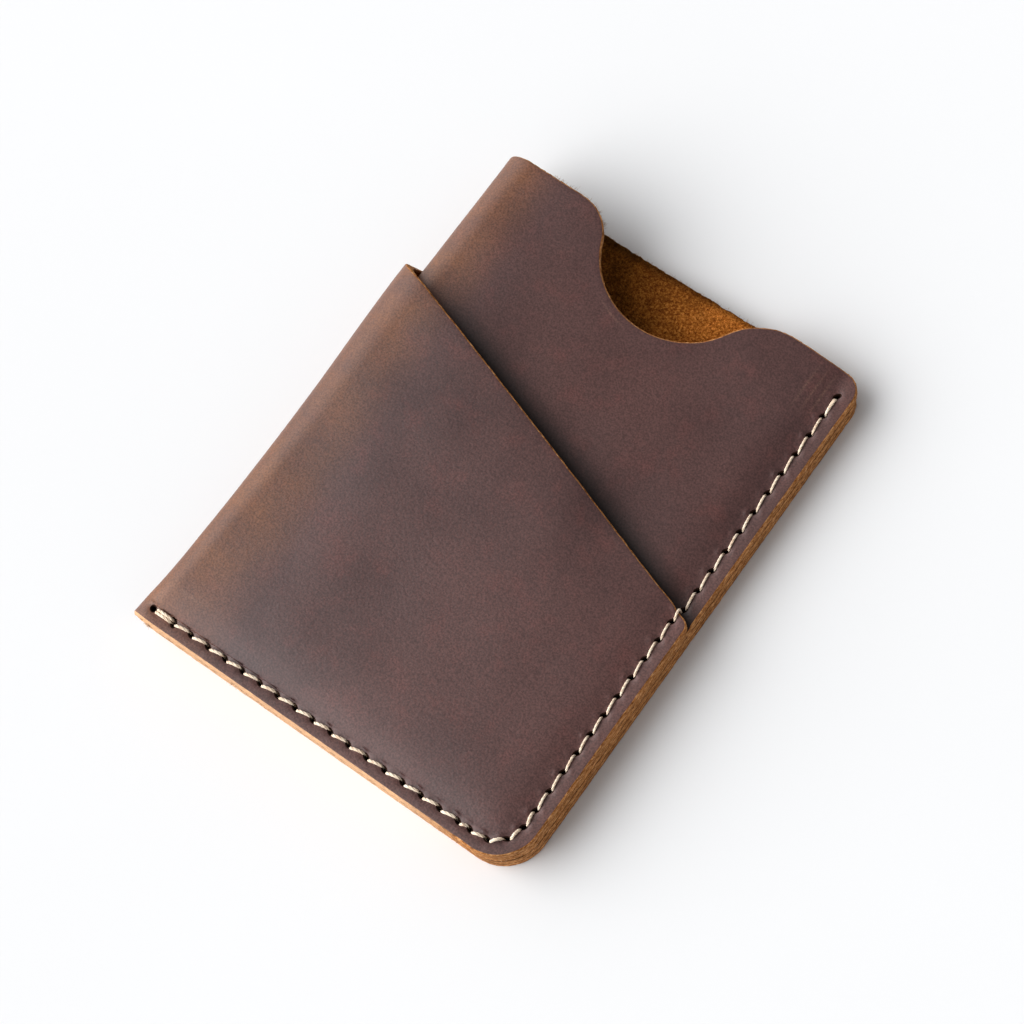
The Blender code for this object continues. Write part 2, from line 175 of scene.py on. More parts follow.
def middle(q, y):
    """Points on the middle surface of the folded sleeve. q is positive on the front."""
    _, centre = bend(y)
    size = np.abs(q)
    beside = centre + (FOLD_ZONE - centre) * (size - BEND_ZONE) / (FOLD_ZONE - BEND_ZONE)
    x = np.where(size > FOLD_ZONE, size, beside)
    z = np.where(q > 0, front_height(x, y), SLEEVE_BACK_Z)
    top = front_height(centre, y)
    radius = (top - SLEEVE_BACK_Z) / 2
    angle = np.clip(q / BEND_ZONE, -1, 1) * math.pi / 2
    bent = size < BEND_ZONE
    x = np.where(bent, centre - radius * np.cos(angle), x)
    z = np.where(bent, top - radius + radius * np.sin(angle), z)
    return np.stack([x, y, z], axis=-1)


def formed(q, y, offset):
    """Points at a distance from the middle surface, and the outward normals there."""
    step = 0.05
    along_q = middle(q + step, y) - middle(q - step, y)
    along_y = middle(q, y + step) - middle(q, y - step)
    normal = np.cross(along_q, along_y)
    normal /= np.linalg.norm(normal, axis=-1, keepdims=True)
    return middle(q, y) + normal * np.asarray(offset)[..., None], normal


def mouth_height(q):
    """Height of the outer sheet's diagonal cut, straight in the flat leather."""
    height = MOUTH_Y + MOUTH_SLOPE * (WIDTH - SIDE_INSET - np.maximum(q, FOLD_ZONE))
    radius, centre = bend(height)
    straight = MOUTH_SLOPE * (FOLD_ZONE - centre)
    around = MOUTH_SLOPE * math.pi / 2 * (radius + LAYER + GAPE / 2)
    run = FOLD_ZONE - BEND_ZONE
    height = height + straight * np.clip((FOLD_ZONE - q) / run, 0, 1)
    height = height + around * np.clip((BEND_ZONE - q) / BEND_ZONE, 0, 2)
    height = height + straight * np.clip((-BEND_ZONE - q) / run, 0, 1)
    return height + MOUTH_SLOPE * np.maximum(-FOLD_ZONE - q, 0)


def gape(q, y):
    """Extra gap between the sleeve and the pocket, widest at the pocket's mouth."""
    across = ease((WIDTH - SEAM - q) / GAPE_REACH) * ease((q + BEND_ZONE) / (2 * BEND_ZONE))
    below = np.maximum(mouth_height(q) - y, 0) / GAPE_DEPTH
    return GAPE * across * np.exp(-below * below)


def top_height(q):
    """Height of the sleeve's open edge."""
    inward = 1 - np.minimum(np.abs(q) / WIDTH, 1.0)
    front = FRONT_HEIGHT + (FOLD_HEIGHT - FRONT_HEIGHT) * inward
    return np.where(q >= 0, front, BACK_HEIGHT + (FOLD_HEIGHT - BACK_HEIGHT) * inward**3)


# ---------------------------------------------------------------- flat patterns

def arc(centre_x, centre_y, radius, start, end):
    """Points of a circular arc, from one angle to another in degrees, 0.4 mm apart."""
    steps = max(6, round(radius * math.radians(abs(end - start)) / 0.4))
    angles = np.radians(np.linspace(start, end, steps + 1))
    return [(centre_x + radius * math.cos(a), centre_y + radius * math.sin(a)) for a in angles]


def bottom_edge():
    centre = WIDTH - BOTTOM_CORNER
    back = arc(-centre, BOTTOM_CORNER, BOTTOM_CORNER, 180, 270)
    return back + arc(centre, BOTTOM_CORNER, BOTTOM_CORNER, 270, 360)


def notch():
    """The thumb notch's outline, right shoulder to left shoulder."""
    centre_y = NOTCH_BOTTOM + NOTCH_R
    shoulders = []
    for side, radius in ((1, RIGHT_SHOULDER_R), (-1, LEFT_SHOULDER_R)):
        y = float(top_height(NOTCH_X + side * (NOTCH_R + radius) * 0.9)) - radius
        reach = math.sqrt((NOTCH_R + radius) ** 2 - (centre_y - y) ** 2)
        lean = math.degrees(math.atan2(centre_y - y, reach))
        shoulders.append((NOTCH_X + side * reach, y, lean))
    (right_x, right_y, right_lean), (left_x, left_y, left_lean) = shoulders
    right = arc(right_x, right_y, RIGHT_SHOULDER_R, 90, 180 - right_lean)
    bottom = arc(NOTCH_X, centre_y, NOTCH_R, -right_lean, -180 + left_lean)
    left = arc(left_x, left_y, LEFT_SHOULDER_R, left_lean, 90)
    return right + bottom[1:-1] + left


def top_corner(side):
    centre = side * (WIDTH - TOP_CORNER)
    y = float(top_height(side * WIDTH)) - TOP_CORNER
    return arc(centre, y, TOP_CORNER, 0, 90) if side > 0 else arc(centre, y, TOP_CORNER, 90, 180)


def sleeve_outline():
    top = [(q, float(top_height(q))) for q in np.arange(15.0, -70.0, -2.0)]
    return bottom_edge() + top_corner(1) + notch() + top + top_corner(-1)


def wrap_outline():
    """Outer sheet: its diagonal cut runs from the pocket's tip round the fold to the back."""
    tip_x = WIDTH - POCKET_TIP
    tip_y = float(mouth_height(tip_x)) - POCKET_TIP * 1.05
    tip = arc(tip_x, tip_y, POCKET_TIP, 0, 90 - math.degrees(math.atan(MOUTH_SLOPE)))
    stations = np.arange(FOLD_ZONE, -FOLD_ZONE - 0.1, -1.0)
    fold = [(q, float(mouth_height(q))) for q in stations]
    q = -FOLD_ZONE
    while mouth_height(q) < top_height(q):
        q -= 0.05
    return bottom_edge() + tip + fold + [(q, float(top_height(q)))] + top_corner(-1)


def resampled(corners, spacing):
    """A closed outline with points at most a spacing apart."""
    points = []
    for start, end in zip(corners, corners[1:] + corners[:1]):
        start, end = np.array(start), np.array(end)
        steps = max(1, math.ceil(np.linalg.norm(end - start) / spacing - 1e-6))
        points += [start + (end - start) * i / steps for i in range(steps)]
    return np.array(points)


def inward_normals(loop):
    """Unit vectors into the leather, which lies to the left of the loop's direction."""
    tangent = np.roll(loop, -1, axis=0) - np.roll(loop, 1, axis=0)
    tangent /= np.linalg.norm(tangent, axis=1, keepdims=True)
    return np.stack([-tangent[:, 1], tangent[:, 0]], axis=1)


def inside(points, loops):
    """True for each point within the first loop and outside the others, by crossings."""
    odd = np.zeros(len(points), bool)
    x, y = points[:, 0], points[:, 1]
    for loop in loops:
        for (x0, y0), (x1, y1) in zip(loop, np.roll(loop, -1, axis=0)):
            if y0 != y1:
                crosses = ((y0 > y) != (y1 > y)) & (x < x0 + (x1 - x0) * (y - y0) / (y1 - y0))
                odd ^= crosses
    return odd


# ---------------------------------------------------------------- stitch row

ROW_BOTTOM = WIDTH - SIDE_INSET - ROW_CORNER
ROW_TURN = math.pi / 2 * ROW_CORNER
ROW_SIDE_Y = BOTTOM_INSET + ROW_CORNER


def row_point(distance):
    """Place and direction on the stitch row, from below the fold round the corner."""
    if distance <= ROW_BOTTOM:
        return Vector((distance, BOTTOM_INSET)), Vector((1, 0))
    if distance >= ROW_BOTTOM + ROW_TURN:
        y = ROW_SIDE_Y + distance - ROW_BOTTOM - ROW_TURN
        return Vector((WIDTH - SIDE_INSET, y)), Vector((0, 1))
    angle = (distance - ROW_BOTTOM) / ROW_CORNER
    x = ROW_BOTTOM + ROW_CORNER * math.sin(angle)
    y = ROW_SIDE_Y - ROW_CORNER * math.cos(angle)
    return Vector((x, y)), Vector((math.cos(angle), math.sin(angle)))


def row_coordinates(x, y):
    """Distance along the stitch row, and outwards from it."""
    dx, dy = x - ROW_BOTTOM, ROW_SIDE_Y - y
    angle = np.arctan2(dx, np.maximum(dy, 1e-9))
    radius = np.hypot(dx, dy)
    side, below = y > ROW_SIDE_Y, x < ROW_BOTTOM
    along = np.where(side, ROW_BOTTOM + ROW_TURN - dy, np.where(below, x, ROW_BOTTOM + angle * ROW_CORNER))
    out = np.where(side, dx - ROW_CORNER, np.where(below, BOTTOM_INSET - y, radius - ROW_CORNER))
    return along, out


def evenly(first, pitch, stitches):
    return [first + pitch * i for i in range(stitches + 1)]


def stitch_holes():
    """Distances of the holes along the row, from the fold round to the mouth."""
    to_side = ROW_BOTTOM + ROW_TURN - ROW_SIDE_Y
    along_bottom = evenly(SECOND_HOLE_X, PITCH, BOTTOM_STITCHES)
    turn = along_bottom[-1] + CORNER_FIRST
    step = (to_side + SIDE_FIRST_HOLE_Y - turn) / CORNER_STITCHES
    around = evenly(turn, step, CORNER_STITCHES - 1)
    lower = evenly(to_side + SIDE_FIRST_HOLE_Y, PITCH, LOWER_STITCHES)
    upper = evenly(to_side + UPPER_FIRST_HOLE_Y, UPPER_PITCH, UPPER_STITCHES)
    return [FIRST_HOLE_X] + along_bottom + around + lower + upper


HOLES = stitch_holes()
LAST = len(HOLES) - 1


def front_tilt(index):
    return LOCK_TILT if index < 2 else FRONT_TILT


def hole_top(index):
    """Height of the leather that carries the front's stitches."""
    place, _ = row_point(HOLES[index])
    return (4 if place.y < MOUTH_Y else 3) * LAYER - BOND


def slit_point(index, offset, tilt):
    """A point in a slit, whose long axis leans outwards from the row."""
    place, direction = row_point(HOLES[index])
    outward = Vector((direction.y, -direction.x))
    return place + (direction * math.cos(tilt) + outward * math.sin(tilt)) * offset


def pattern_q(x, y):
    """The front's pattern coordinate above a place in plan."""
    radius, centre = (float(v) for v in bend(y))
    if x > FOLD_ZONE:
        return x
    if x > centre:
        return BEND_ZONE + (x - centre) / (FOLD_ZONE - centre) * (FOLD_ZONE - BEND_ZONE)
    return BEND_ZONE * math.degrees(math.acos((centre - x) / (radius + LAYER))) / 90


def slit_loops(front, back, height):
    """Outlines of the slits in one layer, clockwise so that leather is on their left."""
    loops = []
    for index in range(LAST + 1):
        top = hole_top(index)
        covered = top < 3 * LAYER
        if height > 3 * LAYER and covered:
            continue
        share = min(max((height - BACK_RIM) / (top - BACK_RIM), 0), 1)
        tilt = BACK_TILT + (front_tilt(index) - BACK_TILT) * share
        loop = []
        reach, width = END_HOLES.get(index, (SLIT_LENGTH, SLIT_WIDTH))
        across = slit_point(index, 1, tilt + math.pi / 2) - slit_point(index, 0, tilt)
        for angle in np.linspace(0, -2 * math.pi, 20, endpoint=False):
            a = slit_point(index, reach * math.cos(angle), tilt)
            place = a - across * width * math.sin(angle)
            loop.append((pattern_q(place.x, place.y), place.y))
        loop = np.array(loop)
        if front:
            loops.append(loop)
        if back:
            loops.append((loop * (-1, 1))[::-1])
    return loops


def mound(forward, outward, place, size):
    """A soft oval rise, 1 high at its place."""
    return np.exp(-(((forward - place[0]) / size[0]) ** 2) - ((outward - place[1]) / size[1]) ** 2)


def stitch_relief(x, y):
    """How the thread pulls on the front's leather: pits at the holes and puckers beside them."""
    along, out = row_coordinates(x, y)
    near = np.abs(out) < 3.5
    lift = np.zeros_like(x)
    for index, hole in enumerate(HOLES):
        place, direction = row_point(hole)
        close = near & (np.abs(along - hole) < 4)
        px, py = x[close] - place.x, y[close] - place.y
        forward = px * direction.x + py * direction.y
        outward = px * direction.y - py * direction.x
        pit = mound(forward, outward, (0.0, 0.0), (1.0, 0.65))
        pucker = mound(forward, outward, (-0.75, -0.95), (0.55, 0.42))
        ridge = mound(forward, outward, (0.5, 1.05), (0.6, 0.45))
        vary = 0.8 + 0.4 * math.sin(index * 2.7)
        lift[close] += -PIT_DEPTH * pit + PUCKER * vary * pucker + RIDGE * vary * ridge
    bed = np.exp(-((out / 0.55) ** 2)) * (along > HOLES[0]) * (along < HOLES[-1])
    return lift - BED_DEPTH * bed


def back_relief(x, y):
    """The channel that the back's stitches lie in."""
    along, out = row_coordinates(x, y)
    ends = ease((along - HOLES[0] + 0.9) / 0.5) * ease((HOLES[-1] + 0.9 - along) / 0.5)
    return -CHANNEL_DEPTH * np.exp(-((out / 0.72) ** 4)) * ends


# ---------------------------------------------------------------- leather sheets

# Cross-section of a cut edge: distance in from the outline, and depth as a share of the thickness.
# The first points are the worn arris of an outer face, and shrink where the face is covered.
ARRIS = ((0.36, 1.0), (0.22, 0.99), (0.11, 0.955), (0.03, 0.88))
WALL = (0.8, 0.7, 0.6, 0.5, 0.4, 0.3, 0.2, 0.1)
FLESH_LIP = ((0.06, 0.02), (0.36, 0.0))


def waves(points, size, seed):
    """Smooth seeded noise, one value for each point."""
    shift = Vector((seed * 7.3, seed * 3.1, 0))
    return np.array([noise.noise(Vector((*p, 0)[:3]) / size + shift) for p in points])


def grid_points(outline, fine_sides):
    """Points of the pattern's inside: even over the panels, close in the bend, and finest round the
    stitches on the sides that are given."""
    points = []
    low, high = outline.min(axis=0), outline.max(axis=0)
    for row, y in enumerate(np.arange(low[1], high[1], 0.85)):
        shift = 0.5 * (row % 2)
        points += [(q, y) for q in np.arange(low[0] + shift, high[0], 1.0) if abs(q) > 7]
        points += [(q, y) for q in np.arange(-6.75 + shift / 2, 7, 0.5)]
    points = np.array(points)
    _, out = row_coordinates(np.abs(points[:, 0]), points[:, 1])
    points = points[(np.abs(out) > 1.9) | (np.abs(points[:, 0]) < 9)]
    band = []
    for side in fine_sides:
        for distance in np.arange(1.0, HOLES[-1] + 3, 0.3):
            place, direction = row_point(distance)
            outward = Vector((direction.y, -direction.x))
            for step in np.arange(-1.8, 1.81, 0.3):
                p = place + outward * step
                band.append((side * pattern_q(p.x, p.y), p.y))
    return np.concatenate([points, np.array(band)]) if band else points


def thinned(points, loops, distance):
    """The points that stay clear of every loop, and of each other."""
    keep = np.ones(len(points), bool)
    for corner in np.concatenate(loops):
        keep &= np.abs(points - corner).sum(axis=1) > distance
    points = points[keep]
    cells, kept = set(), []
    for q, y in points:
        cell = (round(q / 0.2), round(y / 0.2))
        if cell not in cells:
            cells.add(cell)
            kept.append((q, y))
    return np.array(kept)


def sheet(name, corners, slits, flesh, thickness, arris, raggedness, relief, fine_sides):
    """A closed, folded sheet of leather with worn cut edges and awl holes."""
    outline = resampled(corners, 0.5)
    torn = (outline[:, 0] < -FOLD_ZONE) & (outline[:, 1] > 88)
    uneven = waves(outline, 2.2, 1) * 0.05 + waves(outline, 0.8, 9) * 0.16 * torn
    frayed = outline + inward_normals(outline) * uneven[:, None]
    loops = [frayed] + slits
    scale = [arris(loop[:, 0], loop[:, 1]) for loop in loops]
    for i in range(1, len(loops)):
        scale[i] = np.full(len(loops[i]), 0.55)
    rims = [l + inward_normals(l) * (ARRIS[0][0] * s)[:, None] for l, s in zip(loops, scale)]

    inner = grid_points(outline, fine_sides)
    inner = inner[inside(inner, rims)]
    inner = thinned(inner, rims, 0.33)
    flat = np.concatenate(rims + [inner])
    edges, start = [], 0
    for rim in rims:
        count = len(rim)
        edges += [(start + i, start + (i + 1) % count) for i in range(count)]
        start += count
    made = delaunay_2d_cdt([Vector(p) for p in flat], edges, [], 0, 1e-7)
    flat = np.array([tuple(p) for p in made[0]])
    triangles = np.array(made[2])
    centres = flat[triangles].mean(axis=1)
    triangles = triangles[inside(centres, rims)]

    pattern, depth, cut = [flat, flat], [np.ones(len(flat)), np.zeros(len(flat))], []
    walls, first, total = [], 0, 2 * len(flat)
    for loop, rim, s in zip(loops, rims, scale):
        count = len(loop)
        normals = inward_normals(loop)
        profile = list(ARRIS[1:]) + [(0.0, d) for d in WALL] + list(FLESH_LIP[:1])
        rings = [first + np.arange(count)]
        for inset, share in profile:
            ragged = waves(np.column_stack([loop, np.full(count, share * 2.5)]), 0.55, 3)
            push = inset * s - ragged * raggedness * (share < 0.9)
            pattern.append(loop + normals * push[:, None])
            depth.append(np.full(count, 1 - (1 - share) * (s if share > 0.8 else 1)))
            rings.append(total + np.arange(count))
            total += count
        rings.append(len(flat) + first + np.arange(count))
        after = np.roll(np.arange(count), -1)
        for level, (upper, lower) in enumerate(zip(rings, rings[1:])):
            kind = 3 if loop is not loops[0] else 0 if level == 0 else 2
            walls.append((np.column_stack([lower, lower[after], upper[after], upper]), kind))
        first += count

    pattern, depth = np.concatenate(pattern), np.concatenate(depth)
    q, y = pattern[:, 0], pattern[:, 1]
    offset = flesh(q, y) + depth * thickness
    places, normals = formed(q, y, offset)
    places = places + normals * (relief(q, places[:, 0], y) * depth)[:, None]
    soft = waves(np.column_stack([places[:, :2], np.sign(q) * 9]), 11, 5) * 0.16
    seam_free = ease((y - 6) / 8) * ease((WIDTH - 6 - places[:, 0]) / 8) * (q > 0)
    places[:, 2] += soft * seam_free

    faces = [tuple(t) for t in triangles]
    faces += [tuple(t[::-1] + len(flat)) for t in triangles]
    kinds = [0] * len(triangles) + [1] * len(triangles)
    for quads, kind in walls:
        faces += [tuple(quad) for quad in quads]
        kinds += [kind] * len(quads)
    return leather_object(name, places, faces, kinds, pattern, depth)


def plain_object(name, vertices, faces):
    mesh = bpy.data.meshes.new(name)
    mesh.from_pydata([tuple((Vector(v) + ORIGIN) * MM) for v in vertices], [], faces)
    mesh.shade_smooth()
    part = bpy.data.objects.new(name, mesh)
    bpy.context.scene.collection.objects.link(part)
    return part


def leather_object(name, places, faces, kinds, pattern, depth):
    """A sheet with its materials, and with its pattern coordinates and depth for them to read."""
    part = plain_object(name, places, faces)
    mesh = part.data
    corners = np.empty(len(mesh.loops), int)
    mesh.loops.foreach_get("vertex_index", corners)
    flat = mesh.uv_layers.new(name="pattern")
    flat.data.foreach_set("uv", (pattern[corners] * MM).ravel())
    layer = mesh.uv_layers.new(name="depth")
    layer.data.foreach_set("uv", np.column_stack([depth[corners], depth[corners]]).ravel())
    mesh.polygons.foreach_set("material_index", kinds)
    return part


def sleeve():
    """The inner sheet, thick enough to reach the middle of the glue on each of its sides."""

    def arris(q, y):
        bare = (q > 0) & (y > mouth_height(q))
        return np.where(bare | (np.abs(q) < FOLD_ZONE), 1.0, 0.25)

    def relief(q, x, y):
        return stitch_relief(x, y) * (q > 0) * ease((y - mouth_height(q)) / 0.6)

    back = slit_loops(False, True, SLEEVE_BACK_Z)
    front = slit_loops(True, False, SLEEVE_FRONT_Z)
    return sheet(
        "card_sleeve", sleeve_outline(), back + front, lambda q, y: -SLEEVE_HALF + 0 * q,
        2 * SLEEVE_HALF, arris, 0.09, relief, (1,),
    )


def wrap():
    """The outer sheet, from the middle of the glue to the CAD's outer face."""
    start = LEATHER / 2 + BOND / 2 + SEAM_GAP / 2
    thickness = LEATHER / 2 + BOND + LEATHER - start

    def arris(q, y):
        return np.where(q > -FOLD_ZONE, 1.0, 0.6)

    def relief(q, x, y):
        return np.where(q > 0, stitch_relief(x, y), back_relief(x, y))

    back = slit_loops(False, True, LEATHER / 2)
    front = slit_loops(True, False, SLEEVE_FRONT_Z + LAYER)
    return sheet(
        "pocket_wrap", wrap_outline(), back + front, lambda q, y: start + gape(q, y), thickness,
        arris, 0.05, relief, (1, -1),
    )


# ---------------------------------------------------------------- thread

PLY_R = 0.172
PLIES = 3
TWIST = 2.3              # length of one turn of the plies
RUN_EASE = 0.35
SIDE_PULL = 0.2          # how much thinner the thread is along the side, where it is pulled tight
BOTTOM_DIVE = 0.66       # where a strand goes down in a slit, from its middle
SIDE_DIVE = 0.52
LOCK_SPREAD = 0.25       # each strand's distance from the middle of the first doubled stitch
LOCK_REACH = (0.66, 0.45)    # where the strands go down at its two holes


def dive(index, offset, towards):
    """Where a strand goes down in a slit. At a doubled stitch the strands lie side by side."""
    if abs(offset) <= PASS_OFFSET and 1 < index < LAST - 1:
        reach = SIDE_DIVE if row_point(HOLES[index])[0].y > ROW_SIDE_Y else BOTTOM_DIVE
        return slit_point(index, math.copysign(reach, offset), front_tilt(index))
    place, direction = row_point(HOLES[index])
    outward = Vector((direction.y, -direction.x))
    reach = LOCK_REACH[0] if index == 0 else LOCK_REACH[1]
    spread = LOCK_SPREAD if index < 2 else LOCK_SPREAD / 2
    return place + direction * towards * reach + outward * math.copysign(spread, offset + 0.1)


def front_run(start, end, leave, arrive):
    """Path over the front: it rises steeply and sinks slowly into the next slit."""
    heading = 1 if end > start else -1
    a, b = dive(start, leave, heading), dive(end, arrive, -heading)
    za, zb = hole_top(start), hole_top(end)
    step = (b - a).normalized()
    length = (b - a).length
    points = [(*a, za - 1.0), (*a, za - 0.55), (*(a + step * 0.16), za - 0.12)]
    points += [(*(a + step * 0.5), za + 0.14), (*(a + step * length * 0.45), za + 0.24)]
    if za > zb:
        points += [(*(b - step * 0.45), za + 0.04), (*(b - step * 0.08), za - 0.45)]
    else:
        points += [(*(b - step * 0.65), zb + 0.12), (*(b - step * 0.22), zb - 0.16)]
    points += [(*b, zb - 0.6), (*b, zb - 1.0)]
    return points


def back_run(start):
    a = slit_point(start, -PASS_OFFSET, BACK_TILT)
    b = slit_point(start + 1, PASS_OFFSET, BACK_TILT)
    step = (b - a).normalized() * RUN_EASE
    return [(*a, BACK_RIM), (*(a + step), BACK_LEVEL), (*(b - step), BACK_LEVEL), (*b, BACK_RIM)]


def stub(index, offset):
    return [(*slit_point(index, offset, front_tilt(index)), hole_top(index) - 1.5)]


def strand_paths():
    """The two halves of the thread. They take turns on the front and lie side by side at the ends."""
    leave = [PASS_OFFSET] * LAST
    arrive = [-PASS_OFFSET] * (LAST + 1)
    leave[1], leave[LAST - 1] = LOCK_OFFSET, 0.0
    arrive[1], arrive[LAST - 1] = 0.0, -LOCK_OFFSET
    first = stub(1, -LOCK_OFFSET) + front_run(1, 0, -LOCK_OFFSET, -PASS_OFFSET) + back_run(0)
    second = stub(0, PASS_OFFSET) + front_run(0, 1, PASS_OFFSET, arrive[1])
    for index in range(1, LAST):
        first += front_run(index, index + 1, leave[index], arrive[index + 1])
        second += back_run(index)
        first, second = second, first
    first += front_run(LAST, LAST - 1, PASS_OFFSET, LOCK_OFFSET) + stub(LAST - 1, LOCK_OFFSET)
    second += stub(LAST, -PASS_OFFSET)
    return first, second


def smooth_path(points, spacing):
    """A curve through the points, sampled evenly."""
    points = np.array(points)
    padded = np.concatenate([[2 * points[0] - points[1]], points, [2 * points[-1] - points[-2]]])
    samples = []
    for p0, p1, p2, p3 in zip(padded, padded[1:], padded[2:], padded[3:]):
        steps = max(2, math.ceil(np.linalg.norm(p2 - p1) / spacing))
        tension = 0.5
        for t in np.arange(steps) / steps:
            m1, m2 = tension * (p2 - p0), tension * (p3 - p1)
            limit = np.linalg.norm(p2 - p1) * 1.2
            m1 *= min(1, limit / max(np.linalg.norm(m1), 1e-9))
            m2 *= min(1, limit / max(np.linalg.norm(m2), 1e-9))
            h = t * t * (3 - 2 * t)
            samples.append(
                p1 + (p2 - p1) * h + m1 * (t**3 - 2 * t * t + t) + m2 * (t**3 - t * t)
            )
    samples.append(points[-1])
    return np.array(samples)


def frames_along(path):
    """Two directions square to a path at each of its points, which turn no more than it does."""
    tangent = np.gradient(path, axis=0)
    tangent /= np.maximum(np.linalg.norm(tangent, axis=1, keepdims=True), 1e-9)
    side = np.cross(tangent[0], (0.3, 0.2, 0.93))
    sides = []
    for t in tangent:
        side = side - t * np.dot(side, t)
        side /= max(np.linalg.norm(side), 1e-9)
        sides.append(side)
    return np.array(sides), np.cross(tangent, sides)


def tube(path, radii, sides, vertices, faces):
    """Adds a round tube along a path, closed at its ends."""
    first = len(vertices)
    for i, (place, r, side, other) in enumerate(zip(path, radii, *frames_along(path))):
        for k in range(sides):
            angle = 2 * math.pi * k / sides
            vertices.append(place + r * (side * math.cos(angle) + other * math.sin(angle)))
        if i:
            ring = first + i * sides
            for k in range(sides):
                n = (k + 1) % sides
                faces.append((ring - sides + k, ring - sides + n, ring + n, ring + k))
    last = first + (len(path) - 1) * sides
    faces.append(tuple(first + k for k in reversed(range(sides))))
    faces.append(tuple(last + k for k in range(sides)))


def strand(name, points, phase):
    """One strand: plies twisted round its path."""
    path = smooth_path(points, 0.17)
    steps = np.linalg.norm(np.diff(path, axis=0, prepend=path[:1]), axis=1)
    turn = np.cumsum(steps) / TWIST * 2 * math.pi + phase
    sides, others = frames_along(path)
    pulled = 1 - SIDE_PULL * ease((path[:, 1] - ROW_SIDE_Y) / 6)
    vertices, faces = [], []
    for ply in range(PLIES):
        angle = (turn + 2 * math.pi * ply / PLIES)[:, None]
        around = sides * np.cos(angle) + others * np.sin(angle)
        centre = path + (THREAD_R - PLY_R) * pulled[:, None] * around
        tube(centre, PLY_R * pulled, 6, vertices, faces)
    return plain_object(name, vertices, faces)


# ---------------------------------------------------------------- loose fibres

FIBRE_R = 0.034          # at the root


def fibres(name, roots, seed):
    """Fine hairs standing out of a cut edge. Each root is a place, a direction and a length."""
    dice = random.Random(seed)
    vertices, faces = [], []
    for place, direction, length in roots:
        place, direction = np.array(place), np.array(direction, float)
        direction /= np.linalg.norm(direction)
        curl = np.array([dice.uniform(-1, 1) for _ in range(3)])
        steps = 5
        path = [place + direction * length * (i / steps) + curl * length * 0.35 * (i / steps) ** 2
                for i in range(steps + 1)]
        radii = [FIBRE_R * (1 - 0.75 * i / steps) for i in range(steps + 1)]
        tube(np.array(path), radii, 3, vertices, faces)
    return plain_object(name, vertices, faces)


def edge_roots(outline, chosen, count, length, seed):
    """Roots spread over the stretch of the sleeve's edge that is chosen by its pattern coordinates."""
    dice = random.Random(seed)
    loop = resampled(outline, 0.25)
    normals = inward_normals(loop)
    places = [i for i, (q, y) in enumerate(loop) if chosen(q, y)]
    roots = []
    for _ in range(count):
        i = dice.choice(places)
        share = dice.uniform(0.05, 0.75)
        (q, y), (nq, ny) = loop[i], normals[i]
        q, y = np.array([q]), np.array([y])
        offset = (2 * share - 1) * SLEEVE_HALF
        place, normal = formed(q, y, offset)
        beyond, _ = formed(q - nq * 0.3, y - ny * 0.3, offset)
        out = (beyond - place)[0] + normal[0] * dice.uniform(-0.15, 0.25)
        roots.append((place[0] + out * 0.05, out, length * dice.uniform(0.35, 1.0)))
    return roots


# ---------------------------------------------------------------- materials

